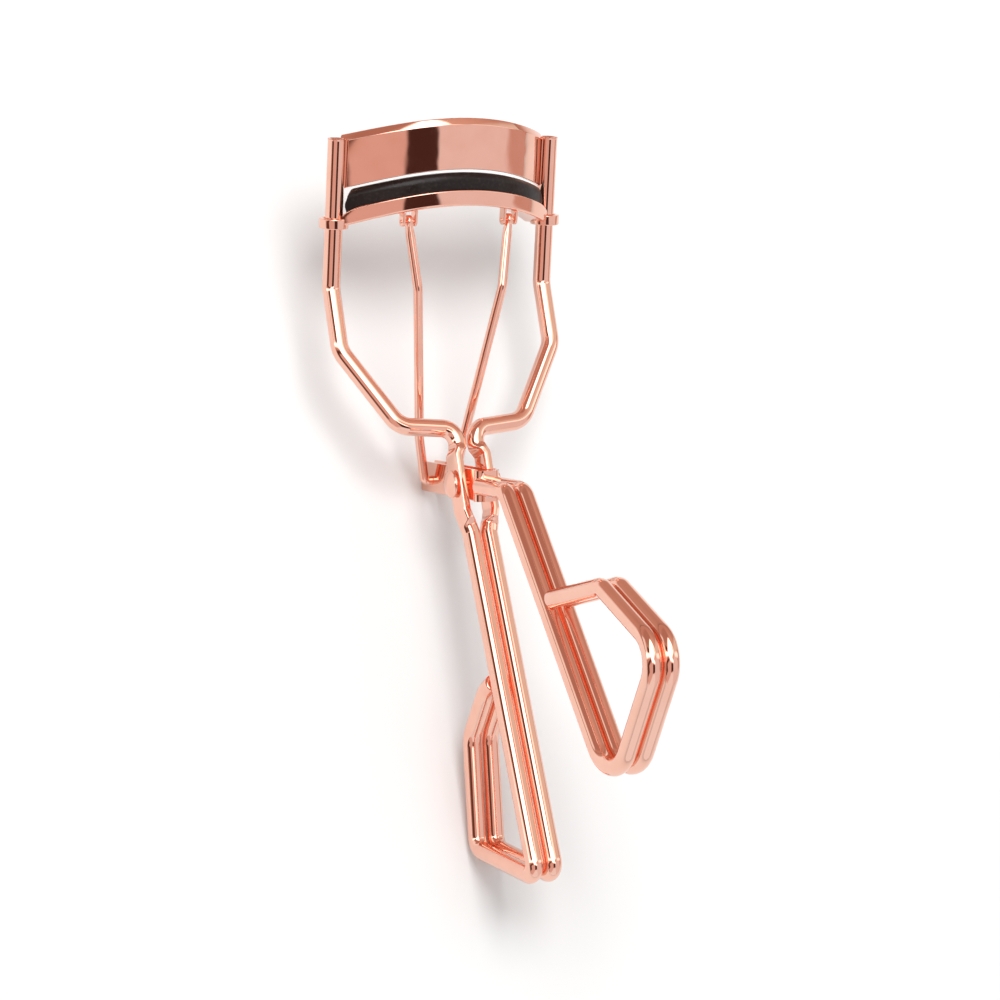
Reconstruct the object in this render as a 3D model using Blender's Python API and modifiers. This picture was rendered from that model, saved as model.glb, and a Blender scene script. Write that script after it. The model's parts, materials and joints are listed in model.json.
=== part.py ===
"""Eyelash curler: two bent frame wires, a fixed upper jaw, a sliding lower jaw with its
rubber pad, two link wires and a riveted thumb lever.

The pieces are drawn in the tool's own axes, in millimetres: X across the jaws, Y toward the
back, Z up along the guide posts, with the posts on Y = 0.  One empty then lays the tool on
its back, so that it rests on the lever's tail and on the finger loop.
"""
import math

import bmesh
import bpy
from mathutils import Matrix, Vector

MM = 0.001
RUNNING_GAP = 0.3                       # clearance between pieces that touch or slide

# Wires
FRAME_WIRE = 2.36                       # diameter of the frame and lever wire
LINK_WIRE = 1.3                         # diameter of the link wire
WIRE_SIDES = 3                          # bevel resolution of the thick wires
LINK_SIDES = 2                          # bevel resolution of the link wires
ARC_STEP = math.radians(15)             # turn of the wire between two path points in a bend
ROUND_SIDES = 24                        # sides of the turned pieces
CUT_THROUGH = 10                        # length of the cutters that pass right through a piece

# Guide posts and bow of the frame
POST_X = 16.35                          # half the distance between the posts
POST_TOP = 21.2
POST_FOOT = 0.3
BOW_HIP = (POST_X, -3.6, -7.8)          # lower end of the bow's upright, turned forward
BOW_HEEL = (9.5, -8.9, -17.6)           # where the wire turns in toward the middle
WAIST = (FRAME_WIRE / 2 + 0.2, -9.9, -18.15)   # where the two wires nearly meet
WAIST_END = (FRAME_WIRE / 2 + 0.24, -11.0, -20.4)
BOW_BENDS = (3.0, 4.0, 3.4, 2.2, 1.0, 0.8)  # bend radii from the posts' foot to the ears

# Pivot, ears and handle
PIVOT = Vector((0.0, -13.2, -25.15))     # axis of the rivet, along X
EAR_X = 2.2                             # middle of the flattened ear
EAR_THICKNESS = 1.3
EAR_WIDTH = 3.4
EAR_HALF_LENGTH = 3.9                   # from the pivot to the ear's ends
EAR_LEAN = math.radians(24.9)           # lean of the ears toward the front
EAR_STEPS = 8                           # path points along an ear
EAR_BLEND = 1.6                         # length over which the wire turns into the flat ear
EAR_BLEND_OUTSIDE = 0.6                 # how much of that lies beyond the ear's ends
HANDLE_LEAN = math.radians(29.4)        # lean of the handle toward the front
HANDLE_TOP = (FRAME_WIRE / 2 + 0.24, -16.05, -31.5)
HANDLE_BENDS = (0.8, 1.5)               # bend radii under the ears
HANDLE_LENGTH = 48.5
HANDLE_HALF_GAP = FRAME_WIRE / 2 + 0.4  # half spacing of the wires at the handle's foot

# Loops: (outward, upward, bend radius at the end) for each straight run, from the foot
FINGER_LOOP = ((15.6, 7.7, 3.6), (-4.4, 14.8, 5.0), (-7.0, 4.8, 1.9), (-2.5, 0.3, 0.0))
THUMB_LOOP = ((21.7, 8.3, 4.2), (-7.4, 14.4, 2.6), (-12.3, 5.9, 0.0))
FINGER_FOOT_BEND = 2.1
THUMB_FOOT_BEND = 4.8

# Lever and its bracket
LEVER_RISE = math.radians(6.4)          # the bracket's front end stands this much higher
LEVER_REACH = 12.4                      # from the pivot to the corner of the lever wires
LEVER_CORNER_BEND = 2.4
LEVER_LEAN = math.radians(45.2)
LEVER_LENGTH = 47.0
LEVER_HALF_GAP = FRAME_WIRE / 2 + 0.16
BRACKET_HEIGHT = 4.25
BRACKET_SHEET = 0.45
BRACKET_TAIL = 13.3                     # from the pivot back to the tail's end
BRACKET_NOSE = 5.1                      # from the pivot forward to the nose
BRACKET_NOSE_HALF = 1.9
BRACKET_FLARE_START = 3.3
BRACKET_FLARE_END = 4.0
BRACKET_CORNER = 0.7                    # outer radius of the nose's corners
LEVER_INNER = EAR_X - EAR_THICKNESS / 2 - RUNNING_GAP - BRACKET_SHEET   # between the cheeks
TAIL_PIVOT = 10.1                       # from the pivot back to the links' lower ends

# Rivet
RIVET_SHANK = 1.5
RIVET_HEAD = 3.8
RIVET_HEAD_HEIGHT = 0.8
DOME_STEPS = 5

# Jaws
PLATE_END_GAP = 0.57                    # between the upper plate's ends and the posts
JAW_HALF = POST_X - FRAME_WIRE / 2 - PLATE_END_GAP     # half width of the jaws' curve
JAW_FORWARD = 5.7                       # how far the middle stands in front of the ends
JAW_END_Y = -0.3
JAW_RADIUS = (JAW_HALF ** 2 + JAW_FORWARD ** 2) / (2 * JAW_FORWARD)
JAW_CENTRE_Y = JAW_END_Y + JAW_RADIUS - JAW_FORWARD
JAW_STEPS = 28                          # sections along the jaws' curve
PLATE_SHEET = 0.7
PLATE_LOW = 14.2                        # lower edge of the upper plate, at its ends
PLATE_RISE = 3.05                       # how much higher the middle is
PLATE_END_GROWTH = 0.06                 # the plate is this much taller at its ends
PLATE_FACE = 6.15                       # height of the flat face, below the lip
LIP_HEIGHT = 0.85
LIP_BACK = 0.55                         # how far the lip leans back
CHANNEL_LOW = 9.0                       # underside of the lower jaw, at its ends
CHANNEL_RISE = 3.4
CHANNEL_WALL = 0.5
CHANNEL_FLOOR = 0.9
CHANNEL_FRONT = 2.2                     # height of the front wall
CHANNEL_BACK = 1.9                      # height of the back wall
CHANNEL_END_GAP = 0.1                   # the channel stops this far from the eyelet's bore
PAD_WIDTH = 2.1
PAD_HEIGHT = 3.25
PAD_END_GROWTH = 0.14                   # the pad is this much taller at its ends
PAD_ROUND_STEPS = 6
EYELET_CENTRE = 9.3
EYELET_HEIGHT = 1.4
EYELET_WALL = 0.55
EYELET_BORE = FRAME_WIRE + 2 * RUNNING_GAP
EYELET_OUTER = EYELET_BORE + 2 * EYELET_WALL

# Links and the lugs that hold them
LINK_X = 7.7                            # half the distance between the links' eyes
LINK_FORWARD = 0.9                      # the links hang this far in front of the channel's middle
LINK_DROP = 1.35                        # from the channel's underside to the link's pin
LUG_SHEET = 0.5
LUG_WIDTH = 1.9
LINK_PIN = 0.5
LINK_PIN_END = 0.1                      # how far the pin stands out of each lug
LINK_EYE = 1.8
LINK_EYE_SHEET = 0.8
LINK_NECK_START = 0.7                   # the wire is flattened to the eye above this
LINK_NECK_END = 2.1                     # and round below this, measured from the pin
LINK_KNEE = (6.5, -6.9, 1.0)
LINK_SHIN = (3.5, -3.3, -20.5)
LINK_BENDS = (0.0, 2.0, 2.0, 0.65)
LINK_TIP_DROP = 0.4                     # the wire ends this far below the lever's tail axis
LINK_TOE = 0.75                         # the last run turns in toward the tail by this much

ROSE_GOLD = ((0.78, 0.36, 0.26, 1.0), 1.0, 0.12)
RUBBER = ((0.012, 0.009, 0.008, 1.0), 0.0, 0.38)


def clear_scene():
    for obj in list(bpy.data.objects):
        bpy.data.objects.remove(obj, do_unlink=True)


def material(name, look):
    colour, metallic, roughness = look
    mat = bpy.data.materials.new(name)
    mat.use_nodes = True
    shader = mat.node_tree.nodes["Principled BSDF"]
    shader.inputs["Base Color"].default_value = colour
    shader.inputs["Metallic"].default_value = metallic
    shader.inputs["Roughness"].default_value = roughness
    mat.diffuse_color = colour
    return mat


def collection(name):
    coll = bpy.data.collections.new(name)
    bpy.context.scene.collection.children.link(coll)
    return coll


def empty(name, parent, location=(0, 0, 0)):
    obj = bpy.data.objects.new(name, None)
    obj.empty_display_size = 0.004
    parts.objects.link(obj)
    obj.parent = parent
    obj.location = Vector(location) * MM
    return obj


def attach(obj, mat, parent, origin):
    """Give a piece its material and hang it, drawn in tool axes, on its joint's empty."""
    obj.data.transform(Matrix.Translation(-Vector(origin) * MM))
    obj.data.materials.clear()
    obj.data.materials.append(mat)
    obj.parent = parent
    return obj


def mesh_object(name, bm, where=None):
    bmesh.ops.recalc_face_normals(bm, faces=bm.faces)
    mesh = bpy.data.meshes.new(name)
    bm.to_mesh(mesh)
    bm.free()
    mesh.transform(Matrix.Scale(MM, 4))
    obj = bpy.data.objects.new(name, mesh)
    (where or parts).objects.link(obj)
    return obj


def mirrored(point, side):
    return Vector((point[0] * side, point[1], point[2]))


def bent_path(points, bends):
    """Straight runs through the points, with an arc of the given radius at each bend."""
    points = [Vector(p) for p in points]
    path = [points[0]]
    for before, corner, after, radius in zip(points, points[1:], points[2:], bends):
        to_before = (before - corner).normalized()
        to_after = (after - corner).normalized()
        turn = math.pi - to_before.angle(to_after)
        if radius <= 0 or turn < ARC_STEP / 3:
            path.append(corner)
            continue
        setback = radius * math.tan(turn / 2)
        centre = corner + (to_before + to_after).normalized() * radius / math.cos(turn / 2)
        start = corner + to_before * setback - centre
        axis = to_after.cross(to_before).normalized()
        steps = max(2, math.ceil(turn / ARC_STEP))
        for i in range(steps + 1):
            path.append(centre + Matrix.Rotation(turn * i / steps, 3, axis) @ start)
    path.append(points[-1])
    return path


def wire(name, path, diameter, sides, thin_start=1.0):
    """A round wire with flat ends along the path; its first point may be thinner."""
    curve = bpy.data.curves.new(name, "CURVE")
    curve.dimensions = "3D"
    curve.bevel_depth = diameter / 2 * MM
    curve.bevel_resolution = sides
    curve.use_fill_caps = True
    spline = curve.splines.new("POLY")
    spline.points.add(len(path) - 1)
    for point, place in zip(spline.points, path):
        point.co = (*(place * MM), 1.0)
    spline.points[0].radius = thin_start
    obj = bpy.data.objects.new(name, curve)
    parts.objects.link(obj)
    return obj


def as_mesh(obj):
    """Replace a curve object by its mesh, with the end caps welded on."""
    bpy.context.view_layer.update()
    evaluated = obj.evaluated_get(bpy.context.evaluated_depsgraph_get())
    mesh = bpy.data.meshes.new_from_object(evaluated)
    bm = bmesh.new()
    bm.from_mesh(mesh)
    bmesh.ops.remove_doubles(bm, verts=bm.verts, dist=1e-6)
    bm.to_mesh(mesh)
    bm.free()
    name, place = obj.name, obj.matrix_world.copy()
    bpy.data.objects.remove(obj, do_unlink=True)
    solid = bpy.data.objects.new(name, mesh)
    parts.objects.link(solid)
    solid.matrix_world = place
    return solid


def across(direction):
    """Matrix that turns a primitive's own Z axis onto the given direction."""
    return Vector((0, 0, 1)).rotation_difference(Vector(direction)).to_matrix().to_4x4()


def rod(name, centre, direction, diameter, length, where=None, sides=ROUND_SIDES):
    bm = bmesh.new()
    bmesh.ops.create_cone(bm, cap_ends=True, segments=sides, radius1=diameter / 2,
                          radius2=diameter / 2, depth=length,
                          matrix=Matrix.Translation(Vector(centre)) @ across(direction))
    return mesh_object(name, bm, where)


def block(name, centre, size, where=None):
    bm = bmesh.new()
    bmesh.ops.create_cube(bm, size=1, matrix=Matrix.Translation(Vector(centre))
                          @ Matrix.Diagonal((*size, 1)))
    return mesh_object(name, bm, where)


def boolean(obj, tool, operation):
    mod = obj.modifiers.new(operation.lower(), "BOOLEAN")
    mod.operation = operation
    mod.object = tool
    tool.hide_render = True
    tool.display_type = "WIRE"


def smooth(obj, angle=40):
    obj.data.shade_smooth()
    obj.data.set_sharp_from_angle(angle=math.radians(angle))
    return obj


def loop_points(foot, side, lean, outward, runs, half_gap):
    """Corners of a loop: its runs are given outward from, and up along, a leaning handle."""
    up = Vector((0, math.sin(lean), math.cos(lean)))
    out = Vector((0, math.cos(lean), -math.sin(lean))) * outward
    corners, place = [], Vector((0, foot[1], foot[2]))
    for run_out, run_up, _ in runs:
        place = place + out * run_out + up * run_up
        corners.append(Vector((half_gap * side, place.y, place.z)))
    return corners


def handle_foot(top, length, lean, half_gap, side):
    down = Vector((0, -math.sin(lean), -math.cos(lean))) * length
    return Vector((half_gap * side, top[1] + down.y, top[2] + down.z))


def ear_ends(side):
    along = Vector((0, -math.sin(EAR_LEAN), -math.cos(EAR_LEAN)))
    middle = PIVOT + Vector((EAR_X * side, 0, 0))
    return [middle + along * EAR_HALF_LENGTH * (2 * i / EAR_STEPS - 1)
            for i in range(EAR_STEPS + 1)]


def flatten_ear(obj):
    """Press the wire beside the pivot into a flat ear, thinner across and wider in the plane."""
    along = Vector((0, -math.sin(EAR_LEAN), -math.cos(EAR_LEAN)))
    wide = Vector((0, math.cos(EAR_LEAN), -math.sin(EAR_LEAN)))
    for vertex in obj.data.vertices:
        place = vertex.co / MM
        offset = place - PIVOT
        reach = abs(offset.dot(along))
        inside = EAR_HALF_LENGTH + EAR_BLEND_OUTSIDE - reach
        ease = min(1.0, max(0.0, inside / EAR_BLEND))
        if ease == 0:
            continue
        press = ease * ease * (3 - 2 * ease)
        thinner = 1 + press * (EAR_THICKNESS / FRAME_WIRE - 1)
        wider = 1 + press * (EAR_WIDTH / FRAME_WIRE - 1)
        middle = math.copysign(EAR_X, place.x)
        place.x = middle + (place.x - middle) * thinner
        place += wide * offset.dot(wide) * (wider - 1)
        vertex.co = place * MM


def frame_wire(side, name):
    foot = handle_foot(HANDLE_TOP, HANDLE_LENGTH, HANDLE_LEAN, HANDLE_HALF_GAP, side)
    loop = loop_points(foot, side, HANDLE_LEAN, 1, FINGER_LOOP, HANDLE_HALF_GAP)
    bow = [(POST_X, 0, POST_TOP), (POST_X, 0, POST_FOOT), BOW_HIP, BOW_HEEL, WAIST, WAIST_END]
    ear = ear_ends(side)
    points = [mirrored(p, side) for p in bow] + ear
    points += [mirrored(HANDLE_TOP, side), foot] + loop
    bends = [*BOW_BENDS, *[0.0] * (EAR_STEPS - 1), *HANDLE_BENDS, FINGER_FOOT_BEND]
    bends += [run[2] for run in FINGER_LOOP[:-1]]
    solid = as_mesh(wire(name, bent_path(points, bends), FRAME_WIRE, WIRE_SIDES))
    flatten_ear(solid)
    boolean(solid, pivot_hole, "DIFFERENCE")
    return smooth(solid)


def jaw_y(x):
    """Y of the jaws' curve at x."""
    return JAW_CENTRE_Y - math.sqrt(JAW_RADIUS ** 2 - x * x)


def arch(x, low, rise):
    return low + rise * (1 - (x / JAW_HALF) ** 2)


def swept_jaw(name, half, section, low, rise, growth=0.0):
    """Carry a closed section of (back, up) points along the jaws' curve and arch.

    The section may grow taller by a share of its height toward the ends.
    """
    swing = math.asin(half / JAW_RADIUS)
    bm = bmesh.new()
    rings = []
    for i in range(JAW_STEPS + 1):
        angle = swing * (2 * i / JAW_STEPS - 1)
        x = JAW_RADIUS * math.sin(angle)
        height = arch(x, low, rise)
        taller = 1 + growth * (x / JAW_HALF) ** 2
        ring = []
        for back, up in section:
            reach = JAW_RADIUS - back
            ring.append(bm.verts.new((reach * math.sin(angle),
                                      JAW_CENTRE_Y - reach * math.cos(angle),
                                      height + up * taller)))
        rings.append(ring)
    for first, second in zip(rings, rings[1:]):
        for j in range(len(section)):
            k = (j + 1) % len(section)
            bm.faces.new((first[j], first[k], second[k], second[j]))
    bm.faces.new(rings[0])
    bm.faces.new(rings[-1])
    return mesh_object(name, bm)


def upper_jaw_plate():
    half = PLATE_SHEET / 2
    top = PLATE_FACE + LIP_HEIGHT
    section = ((-half, 0), (-half, PLATE_FACE), (LIP_BACK - half, top), (LIP_BACK + half, top),
               (half, PLATE_FACE), (half, 0))
    return smooth(swept_jaw("upper_jaw_plate", JAW_HALF, section, PLATE_LOW, PLATE_RISE,
                            PLATE_END_GROWTH))


def lower_jaw():
    inner = PAD_WIDTH / 2 + RUNNING_GAP
    outer = inner + CHANNEL_WALL
    section = ((-outer, 0), (-outer, CHANNEL_FRONT), (-inner, CHANNEL_FRONT),
               (-inner, CHANNEL_FLOOR), (inner, CHANNEL_FLOOR), (inner, CHANNEL_BACK),
               (outer, CHANNEL_BACK), (outer, 0))
    channel_half = POST_X - EYELET_BORE / 2 - CHANNEL_END_GAP
    channel = swept_jaw("lower_jaw", channel_half, section, CHANNEL_LOW, CHANNEL_RISE)
    for side, hand in SIDES:
        centre = (POST_X * side, 0, EYELET_CENTRE)
        ring = rod("eyelet_" + hand, centre, (0, 0, 1), EYELET_OUTER, EYELET_HEIGHT, cutters)
        boolean(channel, ring, "UNION")
    for side, hand in SIDES:
        centre = (POST_X * side, 0, EYELET_CENTRE)
        hole = rod("eyelet_bore_" + hand, centre, (0, 0, 1), EYELET_BORE, CUT_THROUGH, cutters)
        boolean(channel, hole, "DIFFERENCE")
    return smooth(channel)


def rubber_pad():
    """A strip with a round top, standing in the lower jaw's channel."""
    half = PAD_WIDTH / 2
    shoulder = PAD_HEIGHT - half
    arc = [(half * math.cos(a), shoulder + half * math.sin(a))
           for a in (math.pi * i / PAD_ROUND_STEPS for i in range(PAD_ROUND_STEPS + 1))]
    section = [(half, 0)] + arc + [(-half, 0)]
    low = CHANNEL_LOW + CHANNEL_FLOOR + RUNNING_GAP
    half_length = POST_X - FRAME_WIRE / 2 - 2 * RUNNING_GAP
    return smooth(swept_jaw("rubber_pad", half_length, section, low, CHANNEL_RISE,
                            PAD_END_GROWTH))


def link_pin_place(side):
    underside = arch(LINK_X, CHANNEL_LOW, CHANNEL_RISE)
    return Vector((LINK_X * side, jaw_y(LINK_X) - LINK_FORWARD, underside - LINK_DROP))


def lug(name, side, offset):
    """A small plate under the lower jaw, round at the bottom, with a hole for the link's pin."""
    pin = link_pin_place(side)
    x = pin.x + offset
    edge = abs(x) + LUG_SHEET / 2
    top = arch(edge, CHANNEL_LOW, CHANNEL_RISE) - RUNNING_GAP
    body = rod(name, (x, pin.y, pin.z), (1, 0, 0), LUG_WIDTH, LUG_SHEET)
    stem = block(name + "_stem", (x, pin.y, (top + pin.z) / 2), (LUG_SHEET, LUG_WIDTH, top - pin.z),
                 cutters)
    hole = rod(name + "_hole", (x, pin.y, pin.z), (1, 0, 0), LINK_PIN + 2 * RUNNING_GAP,
               2 * LUG_SHEET, cutters)
    boolean(body, stem, "UNION")
    boolean(body, hole, "DIFFERENCE")
    return body


def link_fork(side, hand):
    """The two lugs beside a link's eye and the pin through all three."""
    offset = LINK_EYE_SHEET / 2 + RUNNING_GAP + LUG_SHEET / 2
    outer = lug("link_lug_outer_" + hand, side, offset * side)
    inner = lug("link_lug_inner_" + hand, side, -offset * side)
    pin = rod("link_pin_" + hand, link_pin_place(side), (1, 0, 0), LINK_PIN,
              2 * (offset + LUG_SHEET / 2 + LINK_PIN_END))
    return outer, inner, smooth(pin)


def link_wire(side, hand):
    """A thin wire with a flat eye at the top and a hooked tip beside the lever's tail."""
    pin = link_pin_place(side)
    tail = tail_pivot_place()
    end_z = tail.z - LINK_TIP_DROP
    tip_x = BRACKET_SHEET + LEVER_INNER + RUNNING_GAP
    knee = mirrored(LINK_KNEE, side)
    down = (knee - pin).normalized()
    points = [pin + down * LINK_NECK_START, pin + down * LINK_NECK_END, knee,
              mirrored(LINK_SHIN, side),
              Vector(((tip_x + LINK_TOE) * side, tail.y, end_z)),
              Vector((tip_x * side, tail.y, end_z))]
    shaft = as_mesh(wire("link_wire_" + hand, bent_path(points, LINK_BENDS),
                         LINK_WIRE, LINK_SIDES, LINK_EYE_SHEET / LINK_WIRE))
    eye = rod("link_eye_" + hand, pin, (1, 0, 0), LINK_EYE, LINK_EYE_SHEET, cutters)
    hole = rod("link_hole_" + hand, pin, (1, 0, 0), LINK_PIN + 2 * RUNNING_GAP,
               2 * LINK_EYE_SHEET, cutters)
    boolean(shaft, eye, "UNION")
    boolean(shaft, hole, "DIFFERENCE")
    return smooth(shaft)


def tail_pivot_place():
    return PIVOT + lever_axis(-1) * TAIL_PIVOT


def lever_axis(sign):
    """Direction of the bracket: forward and slightly up, or back when the sign is -1."""
    return Vector((0, -math.cos(LEVER_RISE), math.sin(LEVER_RISE))) * sign


def lever_bracket():
    """A strip bent to a U: two cheeks that pass between the ears, closed by the wider nose."""
    inner, outer = LEVER_INNER, LEVER_INNER + BRACKET_SHEET
    nose, wall, corner = BRACKET_NOSE_HALF, BRACKET_SHEET, BRACKET_CORNER
    shift = wall / 3                    # keeps the slanted wall as thick as the cheeks
    outside = [(-BRACKET_TAIL, outer), (BRACKET_FLARE_START, outer), (BRACKET_FLARE_END, nose)]
    inside = [(-BRACKET_TAIL, inner), (BRACKET_FLARE_START + shift, inner),
              (BRACKET_FLARE_END + shift, nose - wall)]
    for i in range(4):
        a = math.pi / 6 * i
        outside.append((BRACKET_NOSE - corner * (1 - math.sin(a)),
                        nose - corner * (1 - math.cos(a))))
    inside.append((BRACKET_NOSE - wall, nose - corner))
    outline = outside + [(s, -x) for s, x in reversed(outside)]
    outline += [(s, -x) for s, x in inside] + list(reversed(inside))
    curve = bpy.data.curves.new("lever_bracket", "CURVE")
    curve.dimensions = "2D"
    curve.fill_mode = "BOTH"
    curve.extrude = BRACKET_HEIGHT / 2 * MM
    spline = curve.splines.new("POLY")
    spline.points.add(len(outline) - 1)
    for point, (s, x) in zip(spline.points, outline):
        point.co = (x * MM, -s * MM, 0, 1)
    spline.use_cyclic_u = True
    flat = bpy.data.objects.new("lever_bracket", curve)
    parts.objects.link(flat)
    solid = as_mesh(flat)
    solid.data.transform(Matrix.Translation(PIVOT * MM) @ Matrix.Rotation(-LEVER_RISE, 4, "X"))
    boolean(solid, pivot_hole, "DIFFERENCE")
    return smooth(solid)


def lever_wire(side, name):
    start = PIVOT + lever_axis(1) * (BRACKET_NOSE + RUNNING_GAP)
    corner = PIVOT + lever_axis(1) * LEVER_REACH
    foot = handle_foot(corner, LEVER_LENGTH, LEVER_LEAN, LEVER_HALF_GAP, side)
    loop = loop_points(foot, side, LEVER_LEAN, -1, THUMB_LOOP, LEVER_HALF_GAP)
    x = LEVER_HALF_GAP * side
    points = [Vector((x, start.y, start.z)), Vector((x, corner.y, corner.z)), foot] + loop
    bends = [LEVER_CORNER_BEND, THUMB_FOOT_BEND] + [run[2] for run in THUMB_LOOP[:-1]]
    return smooth(as_mesh(wire(name, bent_path(points, bends), FRAME_WIRE, WIRE_SIDES)))


def pivot_rivet():
    """A shank with a domed head at each end, turned about the pivot axis."""
    head_start = EAR_X + EAR_THICKNESS / 2 + RUNNING_GAP
    radius = RIVET_HEAD / 2
    profile = [(RIVET_SHANK / 2, 0), (RIVET_SHANK / 2, head_start), (radius, head_start)]
    for i in range(1, DOME_STEPS):
        a = math.pi / 2 * i / DOME_STEPS
        profile.append((radius * math.cos(a), head_start + RIVET_HEAD_HEIGHT * math.sin(a)))
    tip = head_start + RIVET_HEAD_HEIGHT
    whole = [(0.0, tip)] + profile[::-1] + [(r, -h) for r, h in profile[1:]] + [(0.0, -tip)]
    bm = bmesh.new()
    verts = [bm.verts.new((r, 0, h)) for r, h in whole]
    for a, b in zip(verts, verts[1:]):
        bm.edges.new((a, b))
    mesh = bpy.data.meshes.new("pivot_rivet")
    bm.to_mesh(mesh)
    bm.free()
    mesh.transform(Matrix.Scale(MM, 4))
    obj = bpy.data.objects.new("pivot_rivet", mesh)
    parts.objects.link(obj)
    screw = obj.modifiers.new("turn", "SCREW")
    screw.steps = screw.render_steps = ROUND_SIDES
    screw.use_merge_vertices = True
    screw.merge_threshold = 1e-6
    solid = as_mesh(obj)
    solid.data.transform(Matrix.Translation(PIVOT * MM) @ across((1, 0, 0)))
    return smooth(solid)


def lay_down(root):
    """Turn the tool onto its back, stand it on the ground and centre it on the origin."""
    tail = PIVOT + lever_axis(-1) * BRACKET_TAIL - Vector((0, 0, BRACKET_HEIGHT / 2))
    foot = handle_foot(HANDLE_TOP, HANDLE_LENGTH, HANDLE_LEAN, 0, 1)
    heel = loop_points(foot, 1, HANDLE_LEAN, 1, FINGER_LOOP, 0)[0]
    heel += Vector((0, FRAME_WIRE / 2, -FRAME_WIRE / 2))
    chord = tail - heel
    root.rotation_euler.x = -math.atan2(chord.z, chord.y)
    bpy.context.view_layer.update()
    graph = bpy.context.evaluated_depsgraph_get()
    corners = []
    for obj in parts.objects:
        if obj.type == "MESH":
            shape = obj.evaluated_get(graph)
            corners += [shape.matrix_world @ v.co for v in shape.data.vertices]
    low = [min(c[i] for c in corners) for i in range(3)]
    high = [max(c[i] for c in corners) for i in range(3)]
    root.location = (-(low[0] + high[0]) / 2, -(low[1] + high[1]) / 2, -low[2])


clear_scene()
SIDES = ((-1, "left"), (1, "right"))
parts = collection("eyelash_curler")
cutters = collection("cutters")
plating = material("rose_gold_plating", ROSE_GOLD)
rubber = material("black_rubber", RUBBER)
pivot_hole = rod("pivot_hole", PIVOT, (1, 0, 0), RIVET_SHANK + 2 * RUNNING_GAP, CUT_THROUGH,
                 cutters)

frame_axes = empty("curler_axes", None)
jaw_axes = empty("jaw_slide_axes", frame_axes, (0, 0, EYELET_CENTRE))
lever_axes = empty("lever_pivot_axes", frame_axes, PIVOT)
pin_middle = Vector((0, link_pin_place(1).y, link_pin_place(1).z))
link_axes = empty("link_swing_axes", jaw_axes, pin_middle - Vector((0, 0, EYELET_CENTRE)))

jaw_origin = Vector((0, 0, EYELET_CENTRE))
attach(upper_jaw_plate(), plating, frame_axes, (0, 0, 0))
attach(lower_jaw(), plating, jaw_axes, jaw_origin)
attach(rubber_pad(), rubber, jaw_axes, jaw_origin)
attach(lever_bracket(), plating, lever_axes, PIVOT)
attach(pivot_rivet(), plating, frame_axes, (0, 0, 0))
for side, hand in SIDES:
    attach(frame_wire(side, "frame_wire_" + hand), plating, frame_axes, (0, 0, 0))
    attach(lever_wire(side, "lever_wire_" + hand), plating, lever_axes, PIVOT)
    attach(link_wire(side, hand), plating, link_axes, pin_middle)
    for piece in link_fork(side, hand):
        attach(piece, plating, jaw_axes, jaw_origin)
for tool in cutters.objects:
    tool.hide_render = True
    tool.display_type = "WIRE"
    tool.parent = frame_axes
lay_down(frame_axes)
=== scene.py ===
import json
import math

import bpy
import numpy as np
from mathutils import Matrix, Vector


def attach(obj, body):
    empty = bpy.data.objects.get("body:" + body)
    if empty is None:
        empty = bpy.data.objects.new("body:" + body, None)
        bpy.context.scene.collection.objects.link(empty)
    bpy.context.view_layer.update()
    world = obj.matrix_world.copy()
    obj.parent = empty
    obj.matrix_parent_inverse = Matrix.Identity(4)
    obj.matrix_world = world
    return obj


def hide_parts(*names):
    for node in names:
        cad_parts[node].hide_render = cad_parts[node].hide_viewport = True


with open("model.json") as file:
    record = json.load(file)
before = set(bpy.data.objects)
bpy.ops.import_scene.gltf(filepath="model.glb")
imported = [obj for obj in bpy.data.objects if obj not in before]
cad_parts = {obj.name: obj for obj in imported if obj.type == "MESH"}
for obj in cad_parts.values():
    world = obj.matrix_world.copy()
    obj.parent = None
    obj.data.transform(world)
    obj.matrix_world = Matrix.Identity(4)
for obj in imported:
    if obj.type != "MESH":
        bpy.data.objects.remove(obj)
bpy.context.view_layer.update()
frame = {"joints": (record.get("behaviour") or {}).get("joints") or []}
print("frame loaded")

# The shapes are worked out in the tool's own axes, in millimetres: x across the jaws, y toward the
# back, z up the guide posts.  The joints say where those axes lie in the model.
joints = {joint["name"]: joint for joint in frame["joints"]}
postAxis = np.array(joints["jaw_slide"]["axis"])
acrossAxis = np.array(joints["lever_pivot"]["axis"])
toolAxes = np.array([acrossAxis, np.cross(postAxis, acrossAxis), postAxis])
rivetPlace = np.array([0.0, -13.2, -25.15])
toolOrigin = np.array(joints["lever_pivot"]["pos_m"]) - 0.001 * rivetPlace @ toolAxes


def toModel(points):
    # tool millimetres to model metres: each coordinate goes along its own axis
    return toolOrigin + 0.001 * np.asarray(points, float) @ toolAxes


def directionOf(vector):
    # each vector over its own length
    vector = np.asarray(vector, float)
    return vector / np.linalg.norm(vector, axis=-1, keepdims=True)


def mirrored(points, side):
    # the right side's points for side 1, and with x turned over for side -1
    return np.asarray(points, float) * (side, 1, 1)


def smoothStep(value, low, high):
    # 0 below low, 1 above high, and 3 t^2 - 2 t^3 between
    t = np.clip((value - low) / (high - low), 0, 1)
    return t * t * (3 - 2 * t)


def leaning(lean):
    # direction down a wire that leans toward the front
    return np.array([0, -math.sin(lean), -math.cos(lean)])


def meshPiece(name, points, faces, body, node, material, slot, sharpAngle=35):
    # a finished piece: its place is in its mesh, and it rides on a body in place of a CAD node
    mesh = bpy.data.meshes.new(name)
    mesh.from_pydata(toModel(points), [], faces)
    mesh.update()
    mesh.shade_smooth()
    mesh.set_sharp_from_angle(angle=math.radians(sharpAngle))
    mesh.materials.append(material)
    piece = bpy.data.objects.new(name, mesh)
    bpy.context.scene.collection.objects.link(piece)
    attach(piece, body)
    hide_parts(node)
    return piece


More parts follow.
